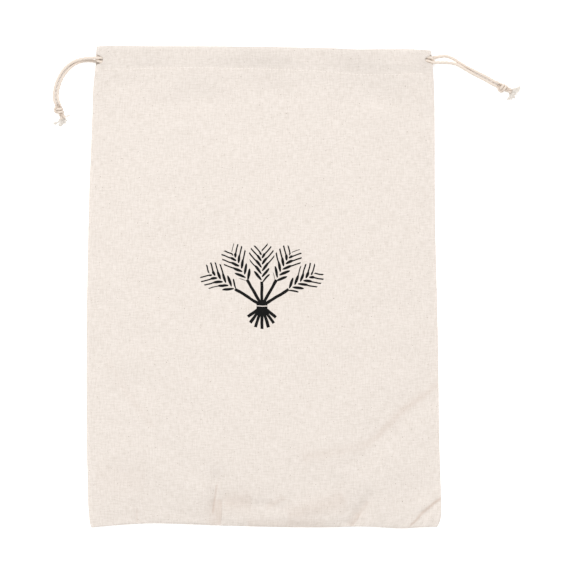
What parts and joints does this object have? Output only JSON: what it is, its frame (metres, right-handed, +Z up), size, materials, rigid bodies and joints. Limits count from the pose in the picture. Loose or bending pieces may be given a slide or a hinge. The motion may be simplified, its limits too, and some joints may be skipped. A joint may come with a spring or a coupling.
{
  "type": "drawstring bread bag",
  "caption": "Empty linen bread bag lying flat, with a folded casing at its mouth and two cotton drawstrings, each tied in a frayed knot.",
  "frame": {"origin": "on the surface the bag lies on, under the middle of the bag", "axes": "+X across the bag, +Y from the bottom seam to the mouth, +Z up from the surface, through the front panel"},
  "size_m": [0.3877, 0.4009, 0.018],
  "materials": {
    "linen": "natural cream plain weave, matte, lightly slubbed",
    "cord": "warm cream twisted cotton, matte, frayed at the ends"
  },
  "bodies": {
    "root": {"front_panel": "linen", "back_panel": "linen", "drawstring_left": "cord", "drawstring_right": "cord", "knot_left": "cord", "knot_right": "cord"}
  },
  "joints": []
}
